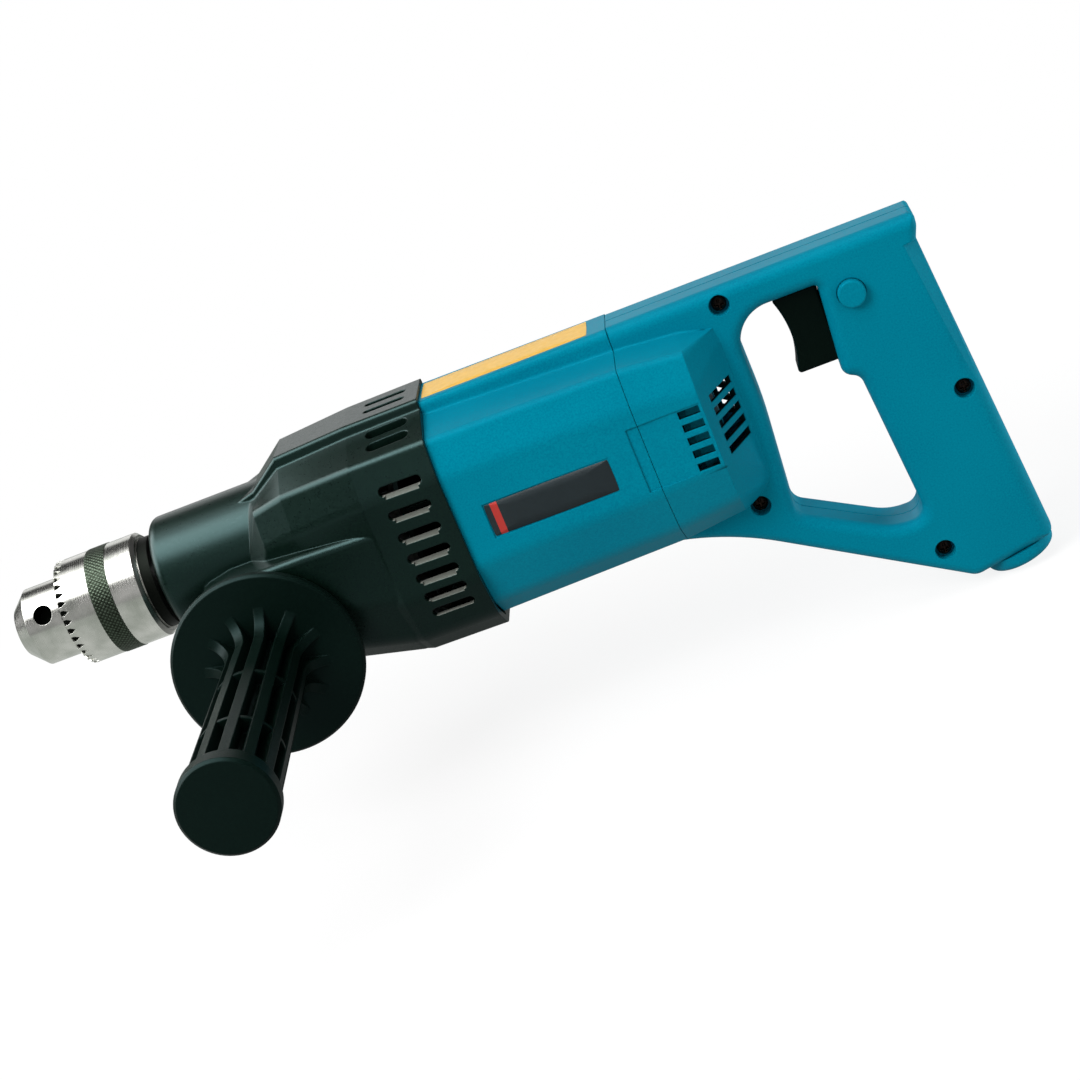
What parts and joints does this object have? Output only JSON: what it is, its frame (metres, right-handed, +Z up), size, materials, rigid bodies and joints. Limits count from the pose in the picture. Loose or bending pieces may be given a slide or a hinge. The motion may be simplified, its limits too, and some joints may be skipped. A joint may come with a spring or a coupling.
{
  "type": "diamond core drill",
  "caption": "Hand-held core drill with a keyed jaw chuck, a black gear housing, a teal motor housing, a D-shaped rear handle with trigger and a side grip with a guard disc.",
  "frame": {"origin": "centre of the chuck's mouth, on the spindle axis", "axes": "+X back along the spindle axis to the handle, +Y to the tool's right hand, +Z up"},
  "size_m": [0.4216, 0.2317, 0.1623],
  "materials": {
    "chuck_steel": "turned and satin ground",
    "hardened_steel": "ground",
    "screw_steel": "blackened",
    "gear_case_black": "semi-gloss black paint on an aluminium casting",
    "plate_aluminium": "as cast and machined",
    "bronze": "sintered",
    "seal_rubber": "matt",
    "lamination_steel": "stamped and varnished",
    "copper": "enamelled",
    "carbon": "pressed carbon",
    "fan_plastic": "moulded",
    "housing_teal": "fine grain moulding",
    "control_black": "matt moulding",
    "grip_black": "semi-gloss moulding"
  },
  "bodies": {
    "housing": {"gear_housing": "gear_case_black", "bearing_plate": "plate_aluminium", "motor_housing": "housing_teal", "handle_left": "housing_teal", "handle_right": "housing_teal", "cord_bush": "housing_teal", "switch_body": "control_black", "handle_screws": "screw_steel", "housing_screws": "screw_steel", "plate_screws": "screw_steel", "air_baffle": "fan_plastic", "field_core": "lamination_steel", "field_coils": "copper", "brush_holders": "bronze", "carbon_brushes": "carbon", "spindle_bearing_outer": "hardened_steel", "spindle_seal": "seal_rubber", "spindle_rear_bush": "bronze", "shaft_front_bearing_outer": "hardened_steel", "shaft_rear_bearing_outer": "hardened_steel", "motor_front_bearing_outer": "hardened_steel", "motor_rear_bearing_outer": "hardened_steel"},
    "armature": {"armature_shaft": "hardened_steel", "armature_core": "lamination_steel", "armature_winding": "copper", "commutator": "copper", "cooling_fan": "fan_plastic", "motor_front_bearing_inner": "hardened_steel", "motor_rear_bearing_inner": "hardened_steel"},
    "intermediate": {"intermediate_shaft": "hardened_steel", "intermediate_wheel": "hardened_steel", "shaft_front_bearing_inner": "hardened_steel", "shaft_rear_bearing_inner": "hardened_steel"},
    "spindle": {"spindle": "hardened_steel", "spindle_gear": "hardened_steel", "spindle_bearing_inner": "hardened_steel", "chuck_body": "chuck_steel", "chuck_screw": "screw_steel"},
    "sleeve": {"chuck_sleeve": "chuck_steel", "chuck_nut": "hardened_steel"},
    "jaw_1": {"chuck_jaw_1": "hardened_steel"},
    "jaw_2": {"chuck_jaw_2": "hardened_steel"},
    "jaw_3": {"chuck_jaw_3": "hardened_steel"},
    "trigger": {"trigger": "control_black", "trigger_plunger": "control_black"},
    "lock_button": {"lock_button": "housing_teal"},
    "side_grip": {"side_grip": "grip_black", "grip_stud": "hardened_steel"}
  },
  "joints": [
    {"name": "armature_spin", "type": "hinge", "parent": "housing", "child": "armature", "pos_m": [0.2, 0, -0.014], "axis": [1, 0, 0], "continuous": true},
    {"name": "intermediate_spin", "type": "hinge", "parent": "housing", "child": "intermediate", "pos_m": [0.14, 0.01756, -0.02946], "axis": [1, 0, 0], "continuous": true},
    {"name": "spindle_spin", "type": "hinge", "parent": "housing", "child": "spindle", "pos_m": [0, 0, 0], "axis": [1, 0, 0], "continuous": true},
    {"name": "sleeve_turn", "type": "hinge", "parent": "spindle", "child": "sleeve", "pos_m": [0.03, 0, 0], "axis": [1, 0, 0], "range_deg": [0, 3600]},
    {"name": "jaw_1_slide", "type": "slide", "parent": "spindle", "child": "jaw_1", "axis": [-0.9744, 0, -0.225], "range_m": [0, 0.02411]},
    {"name": "jaw_2_slide", "type": "slide", "parent": "spindle", "child": "jaw_2", "axis": [-0.9744, 0.1948, 0.1125], "range_m": [0, 0.02411]},
    {"name": "jaw_3_slide", "type": "slide", "parent": "spindle", "child": "jaw_3", "axis": [-0.9744, -0.1948, 0.1125], "range_m": [0, 0.02411]},
    {"name": "trigger_pull", "type": "slide", "parent": "housing", "child": "trigger", "axis": [1, 0, 0], "range_m": [0, 0.006], "stiffness_N_per_m": 600, "springref_m": -0.005},
    {"name": "lock_press", "type": "slide", "parent": "housing", "child": "lock_button", "axis": [0, 1, 0], "range_m": [0, 0.0035], "stiffness_N_per_m": 500, "springref_m": -0.004},
    {"name": "grip_turn", "type": "hinge", "parent": "housing", "child": "side_grip", "pos_m": [0.104, -0.047, -0.035], "axis": [0, -1, 0], "range_deg": [0, 360]}
  ],
  "couplings": [
    {"joint": "intermediate_spin", "follows": "armature_spin", "ratio": -0.18182},
    {"joint": "spindle_spin", "follows": "armature_spin", "ratio": 0.058968},
    {"joint": "jaw_1_slide", "follows": "sleeve_turn", "m_per_rad": 0.00038356},
    {"joint": "jaw_2_slide", "follows": "sleeve_turn", "m_per_rad": 0.00038356},
    {"joint": "jaw_3_slide", "follows": "sleeve_turn", "m_per_rad": 0.00038356}
  ]
}
